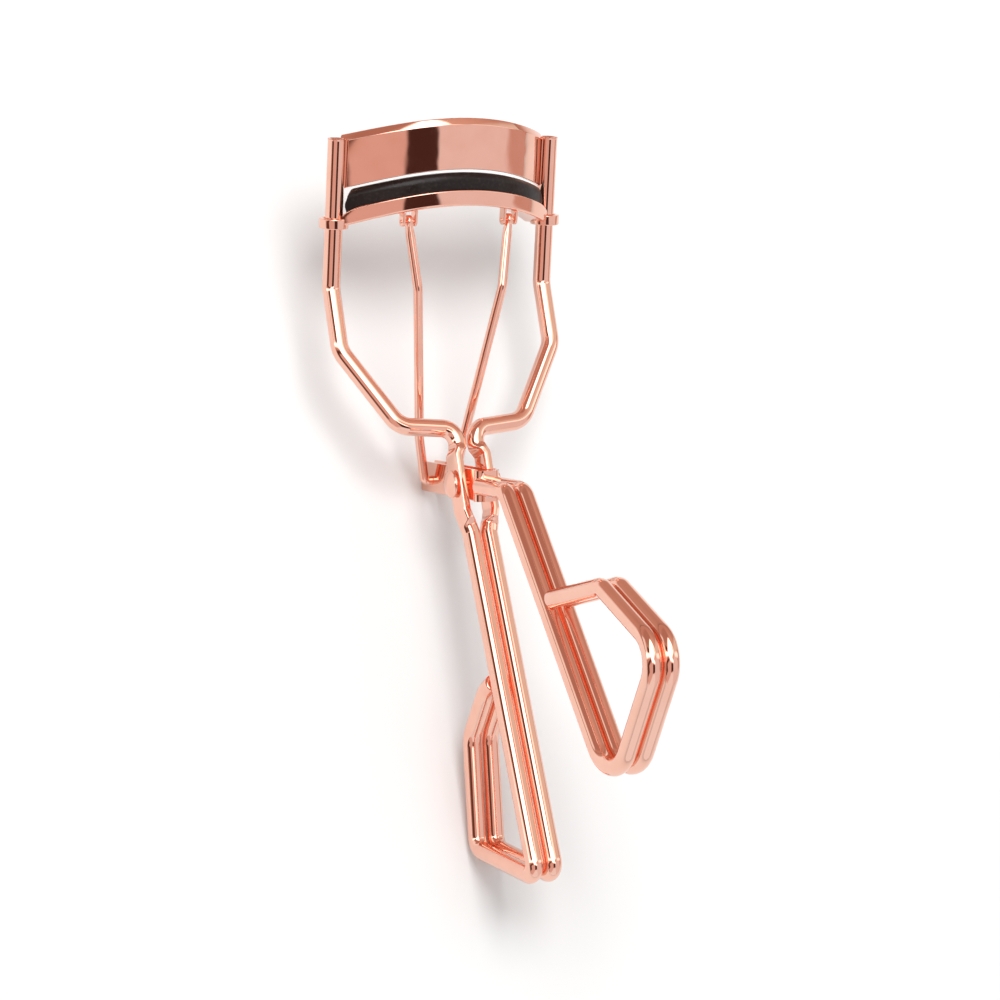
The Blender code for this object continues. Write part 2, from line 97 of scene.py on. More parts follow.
def gridFaces(rings, around):
    # quads between neighbouring rings of points, each ring closed on itself
    ring, place = np.meshgrid(np.arange(rings - 1), np.arange(around), indexing="ij")
    after = (place + 1) % around
    low, high = ring * around, (ring + 1) * around
    quads = np.stack([low + place, low + after, high + after, high + place], axis=-1)
    return quads.reshape(-1, 4).tolist()


def tipFaces(rings, around, tip):
    # triangles that close the first ring at point number tip, and the last ring at the one after
    place = np.arange(around)
    after = (place + 1) % around
    last = (rings - 1) * around
    faces = np.stack([after, place, np.full(around, tip)], axis=-1).tolist()
    faces += np.stack([last + place, last + after, np.full(around, tip + 1)], axis=-1).tolist()
    return faces


def endFaces(rings, around):
    # one many-sided face on the first ring and one on the last, facing outwards
    return [list(range(around))[::-1], list(range((rings - 1) * around, rings * around))]


def bentPath(corners, radii, step=math.radians(3)):
    # straight runs with an arc at each corner: the arc's centre lies on the corner's bisector,
    # its radius over the cosine of half the turn away from the corner
    corners = np.asarray(corners, float)
    runs = [corners[:1]]
    for before, corner, after, radius in zip(corners, corners[1:], corners[2:], radii):
        toBefore, toAfter = directionOf(before - corner), directionOf(after - corner)
        turn = math.pi - math.acos(np.clip(toBefore @ toAfter, -1, 1))
        if radius <= 0 or turn < step / 3:
            runs.append(corner[None])
            continue
        centre = corner + directionOf(toBefore + toAfter) * radius / math.cos(turn / 2)
        start = corner + toBefore * radius * math.tan(turn / 2) - centre
        angle = np.linspace(0, turn, max(3, math.ceil(turn / step)) + 1)[:, None]
        runs.append(centre + start * np.cos(angle) - toBefore * radius * np.sin(angle))
    runs.append(corners[-1:])
    return np.concatenate(runs)


def guardedPath(path, guard=0.25):
    # long straight runs get a ring close to each end, so that the shading of a bend stays in it
    ahead = np.diff(path, axis=0)
    length = np.linalg.norm(ahead, axis=1)
    full = [path[:1]]
    for start, step, size in zip(path, ahead, length):
        if size > 3 * guard:
            full += [(start + step * guard / size)[None], (start + step * (1 - guard / size))[None]]
        full.append((start + step)[None])
    return np.concatenate(full)


def pathFrames(path, first, startRing):
    # directions along the path, and a pair across it that never twists about it: each ring's pair
    # is the one before, less its share along the new direction
    ahead = directionOf(np.diff(path, axis=0))
    along = directionOf(np.concatenate([ahead[:1], ahead[:-1] + ahead[1:], ahead[-1:]]))
    across = np.zeros_like(path)
    across[startRing] = directionOf(first - along[startRing] * (along[startRing] @ first))
    for order in (range(startRing + 1, len(path)), range(startRing - 1, -1, -1)):
        held = across[startRing]
        for ring in order:
            held = directionOf(held - along[ring] * (along[ring] @ held))
            across[ring] = held
    return along, across, np.cross(along, across)


def wireShape(path, radius, firstCap, lastCap, sides=40, first=(1, 0, 0), startRing=0,
              thin=None, wide=None, square=None):
    # a section carried along a path.  The section is |u/thin|^n + |v/wide|^n = 1, round at n = 2.
    # Each cap is a list of (distance past the end, share of the radius), ending at share 0.
    path = np.asarray(path, float)
    along, across, upward = pathFrames(path, np.array(first, float), startRing)
    count = len(path)
    thin = np.full(count, radius) if thin is None else thin
    wide = np.full(count, radius) if wide is None else wide
    square = np.full(count, 2.0) if square is None else square
    angle = np.linspace(0, 2 * math.pi, sides, endpoint=False)
    cosine, sine = np.cos(angle), np.sin(angle)
    power = (2 / square)[:, None]
    u = thin[:, None] * np.sign(cosine) * np.abs(cosine) ** power
    v = wide[:, None] * np.sign(sine) * np.abs(sine) ** power
    offset = u[..., None] * across[:, None] + v[..., None] * upward[:, None]
    rings = path[:, None] + offset
    before = [path[0] - along[0] * gone + offset[0] * share for gone, share in reversed(firstCap)]
    beyond = [path[-1] + along[-1] * gone + offset[-1] * share for gone, share in lastCap]
    rings = np.concatenate([np.array(before[1:]), rings, np.array(beyond[:-1])])
    points = np.concatenate([rings.reshape(-1, 3), before[0][:1], beyond[-1][:1]])
    faces = gridFaces(len(rings), sides) + tipFaces(len(rings), sides, len(points) - 2)
    return points, faces


def roundedCap(radius, edge, dome=0.0):
    # a flat or slightly domed end with a rounded edge, as (distance past the end, share): a
    # quarter circle of size edge, then a dome as high as dome times 1 less the share squared
    angle = np.linspace(0, math.pi / 2, 6)[1:]
    rim = [(edge * (math.sin(a) - 1), 1 - edge / radius * (1 - math.cos(a))) for a in angle]
    inner = rim[-1][1]
    crown = [(dome * (1 - share * share), inner * share) for share in (0.75, 0.5, 0.25, 0.0)]
    return rim + crown


def turnedShape(profile, centre, axis, sides=64):
    # a profile of (radius, height) turned about an axis; a radius of 0 closes the shape there
    profile = np.asarray(profile, float)
    axis = directionOf(axis)
    first = directionOf(np.cross(axis, (0.3, 0.5, 0.8)))
    second = np.cross(axis, first)
    angle = np.linspace(0, 2 * math.pi, sides, endpoint=False)[:, None]
    spoke = first * np.cos(angle) + second * np.sin(angle)
    body = profile[profile[:, 0] > 0]
    rings = (np.asarray(centre, float) + body[:, 1, None, None] * axis
             + body[:, 0, None, None] * spoke[None])
    points, faces = rings.reshape(-1, 3), gridFaces(len(body), sides)
    if profile[0, 0] == 0 and profile[-1, 0] == 0:
        faces += tipFaces(len(body), sides, len(points))
        ends = np.array([centre + axis * profile[0, 1], centre + axis * profile[-1, 1]])
        points = np.concatenate([points, ends])
    else:                                   # a ring: the profile is closed on itself
        place = np.arange(sides)
        after = (place + 1) % sides
        last = (len(body) - 1) * sides
        faces += np.stack([last + place, last + after, after, place], axis=-1).tolist()
    return points, faces


def roundedOutline(corners, radii):
    # a closed flat outline with an arc at each corner, worked out as a bent path that comes round
    corners = np.asarray(corners, float)
    flat = np.column_stack([corners, np.zeros(len(corners))])
    around = np.concatenate([flat[-1:], flat, flat[:1]])
    return bentPath(around, radii, math.radians(15))[1:-1, :2]


def joined(*shapes):
    # several closed shapes in one piece
    points, faces, start = [], [], 0
    for shapePoints, shapeFaces in shapes:
        points.append(np.asarray(shapePoints))
        faces += [[corner + start for corner in face] for face in shapeFaces]
        start += len(shapePoints)
    return np.concatenate(points), faces


def softened(piece, width):
    # rounds the sharp edges of a sheet piece; the width is in millimetres
    bevel = piece.modifiers.new("softEdges", "BEVEL")
    bevel.width = width * 0.001
    bevel.segments = 2
    bevel.limit_method = "ANGLE"
    bevel.angle_limit = math.radians(40)
    bevel.harden_normals = True


# ---- finishes
plating = {
    "colour": (0.88, 0.52, 0.41, 1), "deep": (0.86, 0.49, 0.38, 1), "roughness": 0.05,
    "roughnessSpread": 0.04, "hazeScale": 240.0, "hazeSpan": (0.45, 0.7), "lastReflection": 4,
    "gapGlow": (0.85, 0.70, 0.60, 1),
}
rubber = {
    "colour": (0.006, 0.003, 0.0025, 1), "dust": (0.024, 0.017, 0.016, 1), "dustSpan": (0.52, 0.78),
    "roughness": 0.27, "roughnessSpread": 0.16, "gloss": 0.3, "grainScale": 2600.0,
    "grainDepth": 0.03, "patchScale": 420.0,
}


def newNode(tree, kind, **settings):
    node = tree.nodes.new(kind)
    for name, value in settings.items():
        setattr(node, name, value)
    return node


def setInputs(node, **values):
    # an underscore stands for the space in a socket's name
    for name, value in values.items():
        node.inputs[name.replace("_", " ")].default_value = value
    return node


def buildPolishGroup():
    # hand-polished plating: slow waves of the surface, a faint haze, and a tint that deepens in it
    group = bpy.data.node_groups.new("handPolish", "ShaderNodeTree")
    for name, kind in (("Coordinates", "NodeSocketVector"), ("Wave Scale", "NodeSocketFloat"),
                       ("Wave Height", "NodeSocketFloat"), ("Roughness", "NodeSocketFloat"),
                       ("Haze", "NodeSocketFloat")):
        group.interface.new_socket(name, in_out="INPUT", socket_type=kind)
    for name, kind in (("Tint", "NodeSocketFloat"), ("Roughness", "NodeSocketFloat"),
                       ("Normal", "NodeSocketVector")):
        group.interface.new_socket(name, in_out="OUTPUT", socket_type=kind)
    links = group.links
    given, result = newNode(group, "NodeGroupInput"), newNode(group, "NodeGroupOutput")
    wave = setInputs(newNode(group, "ShaderNodeTexNoise"), Detail=1.0, Roughness=0.4)
    links.new(given.outputs["Coordinates"], wave.inputs["Vector"])
    links.new(given.outputs["Wave Scale"], wave.inputs["Scale"])
    haze = setInputs(newNode(group, "ShaderNodeTexNoise"), Scale=plating["hazeScale"], Detail=3.0)
    links.new(given.outputs["Coordinates"], haze.inputs["Vector"])
    spread = setInputs(newNode(group, "ShaderNodeMapRange"), From_Min=plating["hazeSpan"][0],
                       From_Max=plating["hazeSpan"][1])
    links.new(haze.outputs["Fac"], spread.inputs["Value"])
    share = newNode(group, "ShaderNodeMath", operation="MULTIPLY")
    links.new(spread.outputs["Result"], share.inputs[0])
    links.new(given.outputs["Haze"], share.inputs[1])
    total = newNode(group, "ShaderNodeMath", operation="ADD")
    links.new(given.outputs["Roughness"], total.inputs[0])
    links.new(share.outputs[0], total.inputs[1])
    bump = setInputs(newNode(group, "ShaderNodeBump"), Strength=1.0)
    links.new(wave.outputs["Fac"], bump.inputs["Height"])
    links.new(given.outputs["Wave Height"], bump.inputs["Distance"])
    links.new(spread.outputs["Result"], result.inputs["Tint"])
    links.new(total.outputs[0], result.inputs["Roughness"])
    links.new(bump.outputs["Normal"], result.inputs["Normal"])
    return group


polishGroup = buildPolishGroup()


def platingMaterial(name, waveScale, waveHeight):
    # rose-gold plating over steel
    material = bpy.data.materials.new(name)
    material.use_nodes = True
    tree = material.node_tree
    shader = setInputs(tree.nodes["Principled BSDF"], Metallic=1.0, Emission_Strength=1.0)
    place = newNode(tree, "ShaderNodeTexCoord")
    polish = newNode(tree, "ShaderNodeGroup", node_tree=polishGroup)
    setInputs(polish, Wave_Scale=waveScale, Wave_Height=waveHeight * 0.001,
              Roughness=plating["roughness"], Haze=plating["roughnessSpread"])
    tree.links.new(place.outputs["Object"], polish.inputs["Coordinates"])
    mix = newNode(tree, "ShaderNodeMix", data_type="RGBA")
    mix.inputs["A"].default_value = plating["colour"]
    mix.inputs["B"].default_value = plating["deep"]
    tree.links.new(polish.outputs["Tint"], mix.inputs["Factor"])
    tree.links.new(mix.outputs["Result"], shader.inputs["Base Color"])
    tree.links.new(polish.outputs["Roughness"], shader.inputs["Roughness"])
    tree.links.new(polish.outputs["Normal"], shader.inputs["Normal"])
    # in the narrow gaps light is mirrored to and fro: what a ray would still gather after its
    # last reflection is given as a glow, so that the gaps turn deep copper and not black.
    # A surface that is seen directly, or in an earlier reflection, gets none.
    ray = newNode(tree, "ShaderNodeLightPath")
    spent = newNode(tree, "ShaderNodeMath", operation="GREATER_THAN")
    spent.inputs[1].default_value = plating["lastReflection"] - 0.5
    tree.links.new(ray.outputs["Glossy Depth"], spent.inputs[0])
    glow = newNode(tree, "ShaderNodeMix", data_type="RGBA")
    glow.inputs["A"].default_value = (0, 0, 0, 1)
    glow.inputs["B"].default_value = plating["gapGlow"]
    tree.links.new(spent.outputs[0], glow.inputs["Factor"])
    tree.links.new(glow.outputs["Result"], shader.inputs["Emission Color"])
    return material


def rubberMaterial(name):
    # moulded rubber: near black, a fine grain, a little brown dust on the grain's tops, and
    # patches that are a little rougher
    material = bpy.data.materials.new(name)
    material.use_nodes = True
    tree = material.node_tree
    shader = setInputs(tree.nodes["Principled BSDF"], Specular_IOR_Level=rubber["gloss"])
    place = newNode(tree, "ShaderNodeTexCoord")
    grain = setInputs(newNode(tree, "ShaderNodeTexNoise"), Scale=rubber["grainScale"], Detail=3.0)
    patches = setInputs(newNode(tree, "ShaderNodeTexNoise"), Scale=rubber["patchScale"], Detail=2.0)
    dust = setInputs(newNode(tree, "ShaderNodeMapRange"), From_Min=rubber["dustSpan"][0],
                     From_Max=rubber["dustSpan"][1])
    rough = setInputs(newNode(tree, "ShaderNodeMapRange"), From_Min=0.3, From_Max=0.7,
                      To_Min=rubber["roughness"],
                      To_Max=rubber["roughness"] + rubber["roughnessSpread"])
    mix = newNode(tree, "ShaderNodeMix", data_type="RGBA")
    mix.inputs["A"].default_value = rubber["colour"]
    mix.inputs["B"].default_value = rubber["dust"]
    bump = setInputs(newNode(tree, "ShaderNodeBump"), Strength=0.6,
                     Distance=rubber["grainDepth"] * 0.001)
    for texture in (grain, patches):
        tree.links.new(place.outputs["Object"], texture.inputs["Vector"])
    tree.links.new(grain.outputs["Fac"], dust.inputs["Value"])
    tree.links.new(dust.outputs["Result"], mix.inputs["Factor"])
    tree.links.new(mix.outputs["Result"], shader.inputs["Base Color"])
    tree.links.new(patches.outputs["Fac"], rough.inputs["Value"])
    tree.links.new(rough.outputs["Result"], shader.inputs["Roughness"])
    tree.links.new(grain.outputs["Fac"], bump.inputs["Height"])
    tree.links.new(bump.outputs["Normal"], shader.inputs["Normal"])
    return material


# waves to a metre, and their height in millimetres
wirePlating = platingMaterial("platedWire", 160.0, 0.010)
sheetPlating = platingMaterial("platedSheet", 300.0, 0.045)
smallPlating = platingMaterial("platedFittings", 500.0, 0.004)
padRubber = rubberMaterial("padRubber")
metalSlot, rubberSlot = "rose_gold_plating", "black_rubber"
print("finishes made")

# ---- frame wires
frameWire = {
    "diameter": 2.48, "endRound": 0.45,
    "post": (16.35, 21.2, 0.3),             # half spacing, top and foot
    "bow": ((16.35, -3.6, -7.8), (9.5, -8.9, -17.6), (1.38, -9.9, -18.15), (1.42, -11.0, -20.4)),
    "bowBends": (3.0, 4.0, 3.4, 2.2, 1.0),
    # the ear: the wire pressed flat at the rivet, its straight run and how far the press reaches
    "earX": 2.2, "earThickness": 1.3, "earWidth": 3.4, "earSquareness": 3.0, "earHalfRun": 3.9,
    "earBends": (0.8, 0.8, 0.8), "earRings": 90,
    "earLean": math.radians(24.9), "earAbove": 4.6, "earBelow": 5.0, "earBlend": 0.9,
    "handleTop": (1.36, -16.05, -31.5), "handleTopBend": 1.5, "handleLean": math.radians(29.4),
    "handleLength": 48.5, "handleHalfGap": 1.40, "footBend": 2.1,
    # the finger loop's runs: outward, up along the handle, and the bend at each run's end
    "loop": ((15.6, 7.7, 3.6), (-4.4, 14.8, 5.0), (-7.0, 4.8, 1.9), (-2.5, 0.3, 0.0)),
    # the dished post top: distance past the end, and share of the radius
    "postCap": ((-0.3, 1.0), (-0.1, 1.03), (0.0, 0.95), (0.0, 0.84), (-0.16, 0.7), (-0.3, 0.45),
                (-0.34, 0.2), (-0.34, 0.0)),
    "postRim": 0.3,
}


def loopCorners(foot, lean, outward, runs, halfGap, side):
    # corners of a finger loop: each run goes outward from, and up along, the leaning handle
    up, out = -leaning(lean), np.array([0, math.cos(lean), -math.sin(lean)]) * outward
    steps = np.array([out * run[0] + up * run[1] for run in runs])
    corners = foot + np.cumsum(steps, axis=0)
    corners[:, 0] = halfGap * side
    return corners


def makeFrameWire(name, node, side):
    # one wire from the post's top through the bow, the ear and the handle to the loop's end
    spec = frameWire
    radius = spec["diameter"] / 2
    postX, postTop, postFoot = spec["post"]
    down = leaning(spec["earLean"])
    earMiddle = rivetPlace + (spec["earX"] * side, 0, 0)
    ear = earMiddle + down * np.array([-1, 1])[:, None] * spec["earHalfRun"]
    handleTop = mirrored(spec["handleTop"], side)
    foot = handleTop + leaning(spec["handleLean"]) * spec["handleLength"]
    foot[0] = spec["handleHalfGap"] * side
    loop = loopCorners(foot, spec["handleLean"], 1, spec["loop"], spec["handleHalfGap"], side)
    corners = np.array([(postX, 0, postTop - spec["postRim"]), (postX, 0, postFoot),
                        *spec["bow"]])
    corners = np.concatenate([mirrored(corners, side), ear, handleTop[None], foot[None], loop])
    bends = [*spec["bowBends"], *spec["earBends"], spec["handleTopBend"], spec["footBend"]]
    bends += [run[2] for run in spec["loop"][:-1]]
    path = guardedPath(bentPath(corners, bends))
    # evenly spaced finer rings beside the rivet, where the wire is pressed flat
    middleHalf, fineReach, pressReach = 3, 8, 9
    reach = (path - earMiddle) @ down
    inside = (np.abs(reach) < fineReach) & (np.abs(path[:, 0]) < middleHalf)
    firstRing, lastRing = np.flatnonzero(inside)[[0, -1]]
    stretch = path[firstRing:lastRing + 1]
    length = np.concatenate([[0], np.cumsum(np.linalg.norm(np.diff(stretch, axis=0), axis=1))])
    even = np.linspace(0, length[-1], spec["earRings"])
    stretch = np.column_stack([np.interp(even, length, stretch[:, i]) for i in range(3)])
    path = np.concatenate([path[:firstRing], stretch, path[lastRing + 1:]])
    reach = (path - earMiddle) @ down
    near = np.abs(path[:, 0]) < middleHalf
    middleRing = int(np.argmin(np.where(near, np.abs(reach), np.inf)))
    # the press rises from 0 to 1 above the ear, and falls back to 0 below it
    press = smoothStep(reach, -spec["earAbove"] - spec["earBlend"], -spec["earAbove"])
    press = press * (1 - smoothStep(reach, spec["earBelow"], spec["earBelow"] + spec["earBlend"]))
    press = np.where(near & (np.linalg.norm(path - earMiddle, axis=1) < pressReach), press, 0)
    thin = radius + press * (spec["earThickness"] / 2 - radius)
    wide = radius + press * (spec["earWidth"] / 2 - radius)
    shape = wireShape(path, radius, list(spec["postCap"]), roundedCap(radius, spec["endRound"]),
                      startRing=middleRing, thin=thin, wide=wide,
                      square=2 + spec["earSquareness"] * press)
    meshPiece(name, *shape, "frame", node, wirePlating, metalSlot)


makeFrameWire("frameWireLeft", "frame_wire_left", -1)
makeFrameWire("frameWireRight", "frame_wire_right", 1)
print("frame wires made")

# ---- rivet
rivet = {"shank": 0.75, "headRadius": 1.9, "headStart": 3.15, "headHeight": 0.8, "rim": 0.3,
         "underRound": 0.08, "shoulder": (0.13, 0.17)}     # inward as a share, and up


def makeRivet():
    # a profile of (radius, height), mirrored about the middle: out under the head, up its rim and
    # shoulder, then a dome whose height above the shoulder is 1 - (1 - t)^2 at radius 1 - t
    radius, low, rimTop = rivet["headRadius"], rivet["headStart"], rivet["headStart"] + rivet["rim"]
    headTop = low + rivet["headHeight"]
    inward, rise = rivet["shoulder"]
    half = [(rivet["shank"], low), (radius - rivet["underRound"], low),
            (radius, low + rivet["underRound"]), (radius, rimTop)]
    half += [(radius * (1 - inward * s), rimTop + rise * s) for s in (0.35, 0.7, 1.0)]
    domeRadius, domeStart = half[-1]
    half += [(domeRadius * (1 - t), headTop - (headTop - domeStart) * (1 - t) ** 2)
             for t in np.linspace(0, 1, 9)[1:-1]]
    profile = [(0, -headTop), *[(r, -h) for r, h in half[::-1]], *half, (0, headTop)]
    meshPiece("pivotRivet", *turnedShape(profile, rivetPlace, (1, 0, 0)), "frame", "pivot_rivet",
              smallPlating, metalSlot, sharpAngle=60)


makeRivet()
print("rivet made")

# ---- jaws
jaw = {"half": 14.6, "forward": 5.7, "endY": -0.3, "steps": 120}
# the arc through both ends and the foremost point: (half^2 + depth^2) / (2 depth)
jawRadius = (jaw["half"] ** 2 + jaw["forward"] ** 2) / (2 * jaw["forward"])
jawCentreY = jaw["endY"] + jawRadius - jaw["forward"]


def arch(x, low, rise):
    # a jaw's height: low at its ends, and higher by rise in the middle, along a parabola
    return low + rise * (1 - (x / jaw["half"]) ** 2)


def jawShape(section, half, low, rise, heights):
    # a closed section of (back, up) points carried along the jaws' arc in plan and their arch in
    # elevation: a point is at (reach sin a, centre - reach cos a), where reach is the arc's radius
    # less its back, and heights(x, up) gives its own height at each x
    swing = math.asin(half / jawRadius)
    angle = np.linspace(-swing, swing, jaw["steps"] + 1)[:, None]
    section = np.asarray(section, float)
    x = jawRadius * np.sin(angle)
    reach = jawRadius - section[:, 0][None]
    up = heights(x, section[:, 1][None])
    points = np.stack([reach * np.sin(angle), jawCentreY - reach * np.cos(angle),
                       arch(x, low, rise) + up], axis=-1)
    rings, around = points.shape[:2]
    return points.reshape(-1, 3), gridFaces(rings, around) + endFaces(rings, around)


def quarterRound(t):
    # 0 at the very end, 1 where the rounding stops: the height of a quarter circle at t
    return np.sqrt(1 - (1 - t) ** 2)


upperPlate = {"sheet": 0.7, "low": 14.2, "rise": 3.05, "endGrowth": 0.06, "face": 6.15,
              "lipHeight": 0.85, "lipBack": 0.55, "half": 15.5,
              "rounds": [0.12, 0.25, 0.2, 0.2, 0.8, 0.12]}


def makeUpperPlate():
    # a sheet with a lip that leans back along its top edge, a little taller toward its ends
    half = upperPlate["sheet"] / 2
    face, back = upperPlate["face"], upperPlate["lipBack"]
    top = face + upperPlate["lipHeight"]
    section = roundedOutline([(-half, 0), (-half, face), (back - half, top), (back + half, top),
                              (half, face), (half, 0)], upperPlate["rounds"])
    shape = jawShape(section[::-1], upperPlate["half"], upperPlate["low"], upperPlate["rise"],
                     lambda x, up: up * (1 + upperPlate["endGrowth"] * (x / jaw["half"]) ** 2))
    meshPiece("upperJawPlate", *shape, "frame", "upper_jaw_plate", sheetPlating, metalSlot)


lowerJaw = {"low": 9.0, "rise": 3.4, "padGap": 0.3, "wall": 0.5, "floor": 0.9, "front": 2.2,
            "back": 1.9, "half": 14.9, "taper": 2.2,
            "rounds": [0.42, 0.16, 0.16, 0.2, 0.2, 0.16, 0.16, 0.42], "eyeletCentre": 9.3,
            "eyeletHeight": 1.4, "eyeletBore": 2.96, "eyeletWall": 0.55, "eyeletEdge": 0.14}
pad = {"width": 2.1, "height": 3.25, "half": 14.57, "endRound": 0.55, "endGrowth": 0.14,
       "footEdge": 0.15, "endMiddle": 0.45, "endLeast": 0.02}


def wallTaper(x, up):
    # the walls stand full height along the jaw and round off to the floor at its ends
    floor = lowerJaw["floor"]
    t = np.clip((lowerJaw["half"] - np.abs(x)) / lowerJaw["taper"], 0, 1)
    return np.where(up > floor, floor + (up - floor) * quarterRound(t), up)


def makeLowerJaw():
    # a channel for the pad, with a ring around each post
    inner = pad["width"] / 2 + lowerJaw["padGap"]
    outer = inner + lowerJaw["wall"]
    floor, front, back = lowerJaw["floor"], lowerJaw["front"], lowerJaw["back"]
    section = roundedOutline([(-outer, 0), (-outer, front), (-inner, front), (-inner, floor),
                              (inner, floor), (inner, back), (outer, back), (outer, 0)],
                             lowerJaw["rounds"])
    channel = jawShape(section[::-1], lowerJaw["half"], lowerJaw["low"], lowerJaw["rise"],
                       wallTaper)
    boreRadius = lowerJaw["eyeletBore"] / 2
    ringRadius = boreRadius + lowerJaw["eyeletWall"]
    ringHalf = lowerJaw["eyeletHeight"] / 2
    ring = roundedOutline([(boreRadius, -ringHalf), (ringRadius, -ringHalf),
                           (ringRadius, ringHalf), (boreRadius, ringHalf)],
                          [lowerJaw["eyeletEdge"]] * 4)
    eyelets = [turnedShape(ring, (frameWire["post"][0] * side, 0, lowerJaw["eyeletCentre"]),
                           (0, 0, 1)) for side in (-1, 1)]
    meshPiece("lowerJawChannel", *joined(channel, *eyelets), "jaw", "lower_jaw", sheetPlating,
              metalSlot)


def padEnds(x, up):
    # the pad grows taller toward its ends, where it shrinks to its middle in a quarter round
    t = np.clip((pad["half"] - np.abs(x)) / pad["endRound"], pad["endLeast"], 1)
    middle = pad["height"] * pad["endMiddle"]
    taller = 1 + pad["endGrowth"] * (x / jaw["half"]) ** 2
    return (middle + (up - middle) * quarterRound(t)) * taller


def makePad():
    # straight sides with a half-round top, standing in the channel
    half, edge = pad["width"] / 2, pad["footEdge"]
    shoulder = pad["height"] - half
    section = [(half - edge, 0.0), (half, edge)]
    section += [(half * math.cos(a), shoulder + half * math.sin(a))
                for a in np.linspace(0, math.pi, 17)]
    section += [(-half, edge), (-half + edge, 0.0)]
    low = lowerJaw["low"] + lowerJaw["floor"] + lowerJaw["padGap"]
    shape = jawShape(section, pad["half"], low, lowerJaw["rise"], padEnds)
    meshPiece("rubberPad", *shape, "jaw", "rubber_pad", padRubber, rubberSlot)


makeUpperPlate()
makeLowerJaw()
makePad()
print("jaws made")

# ---- lugs, pins and links
link = {"wire": 1.3, "x": 7.7, "forward": 0.9, "drop": 1.35, "lugSheet": 0.4, "lugWidth": 1.4,
        "lugSink": 0.15, "lugEdge": 0.1, "gap": 0.3, "pin": 0.5, "pinEnd": 0.1, "pinEdge": 0.1,
        "pinDome": 0.06, "eye": 1.8, "eyeSheet": 0.8, "eyeMiddle": 0.3,
        "eyeRounds": [0.08, 0.25, 0.25, 0.08], "knee": (6.5, -6.9, 1.0), "shin": (3.5, -3.3, -20.5),
        "bends": (2.0, 2.0, 0.65), "tipDrop": 0.4, "tipGap": 0.05, "toe": 0.75,
        "neck": (0.2, 2.1), "eyeEnd": 0.15, "footEnd": 0.2}
bracket = {"sheet": 0.45, "inner": 0.8, "height": 4.25, "tail": 13.3, "tailPivot": 10.1,
           "flare": (3.3, 4.1), "flareBends": (0.9, 0.5), "noseHalf": 1.9, "nose": 5.1,
           "noseRound": 1.0, "rise": math.radians(6.4), "edge": 0.1, "tailRound": 0.35}
forward = np.array([0, -math.cos(bracket["rise"]), math.sin(bracket["rise"])])
upright = np.array([0, math.sin(bracket["rise"]), math.cos(bracket["rise"])])
jawY = jawCentreY - math.sqrt(jawRadius ** 2 - link["x"] ** 2)
pinPlace = np.array([link["x"], jawY - link["forward"],
                     arch(link["x"], lowerJaw["low"], lowerJaw["rise"]) - link["drop"]])
lugOffset = link["eyeSheet"] / 2 + link["gap"] + link["lugSheet"] / 2


def slabShape(outline, centre, axes, thickness):
    # a flat outline given along two axes, made thick along the third
    outline, axes = np.asarray(outline, float), np.asarray(axes, float)
    flat = outline @ axes[:2]
    low = centre + flat - axes[2] * thickness / 2
    high = centre + flat + axes[2] * thickness / 2
    faces = gridFaces(2, len(outline)) + endFaces(2, len(outline))
    return np.concatenate([low, high]), faces


def makeLug(name, node, side, offset):
    # a plate that hangs from the jaw: half round below its pin and straight above it
    radius = link["lugWidth"] / 2
    place = mirrored(pinPlace, side) + (offset * side, 0, 0)
    top = arch(abs(place[0]), lowerJaw["low"], lowerJaw["rise"]) + link["lugSink"] - place[2]
    angle = np.linspace(math.pi, 2 * math.pi, 17)
    outline = np.column_stack([radius * np.cos(angle), radius * np.sin(angle)])
    outline = np.concatenate([outline, [(radius, top), (-radius, top)]])
    shape = slabShape(outline, place, [(0, 1, 0), (0, 0, 1), (1, 0, 0)], link["lugSheet"])
    softened(meshPiece(name, *shape, "jaw", node, smallPlating, metalSlot), link["lugEdge"])


def makePin(name, node, side):
    # a round bar through both lugs, with slightly domed ends
    half = lugOffset + link["lugSheet"] / 2 + link["pinEnd"]
    ends = mirrored(pinPlace, side) + np.array([(-half, 0, 0), (half, 0, 0)])
    radius = link["pin"] / 2
    cap = roundedCap(radius, link["pinEdge"], link["pinDome"])
    shape = wireShape(ends, radius, cap, cap, sides=24, first=(0, 0, 1))
    meshPiece(name, *shape, "jaw", node, smallPlating, metalSlot)


def makeLink(name, node, side):
    # a thin wire, pressed flat at its eye and turned in to the lever's tail at its foot
    radius = link["wire"] / 2
    pin = mirrored(pinPlace, side)
    tail = rivetPlace - forward * bracket["tailPivot"]
    tipX = bracket["inner"] + bracket["sheet"] + link["tipGap"]
    endZ = tail[2] - link["tipDrop"]
    corners = [pin, mirrored(link["knee"], side), mirrored(link["shin"], side),
               ((tipX + link["gap"] + link["toe"]) * side, tail[1], endZ),
               (tipX * side, tail[1], endZ)]
    path = guardedPath(bentPath(corners, link["bends"]))
    # finer rings along the neck, where the flat eye turns into round wire
    down = directionOf(path[1] - path[0])
    neck = pin + down * np.linspace(0.2, 3.2, 16)[:, None]
    path = np.concatenate([path[:1], neck, path[2:]])
    reach = np.linalg.norm(path - pin, axis=1)
    press = 1 - smoothStep(reach, *link["neck"])
    thin = radius + press * (link["eyeSheet"] / 2 - radius)
    wire = wireShape(path, radius, roundedCap(radius, link["eyeEnd"]),
                     roundedCap(radius, link["footEnd"]), sides=32, thin=thin, square=2 + press)
    bore, eyeRadius, eyeHalf = link["eyeMiddle"], link["eye"] / 2, link["eyeSheet"] / 2
    rim = roundedOutline([(bore, -eyeHalf), (eyeRadius, -eyeHalf), (eyeRadius, eyeHalf),
                          (bore, eyeHalf)], link["eyeRounds"])
    shape = joined(wire, turnedShape(rim, pin, (1, 0, 0), sides=48))
    meshPiece(name, *shape, "links", node, wirePlating, metalSlot)


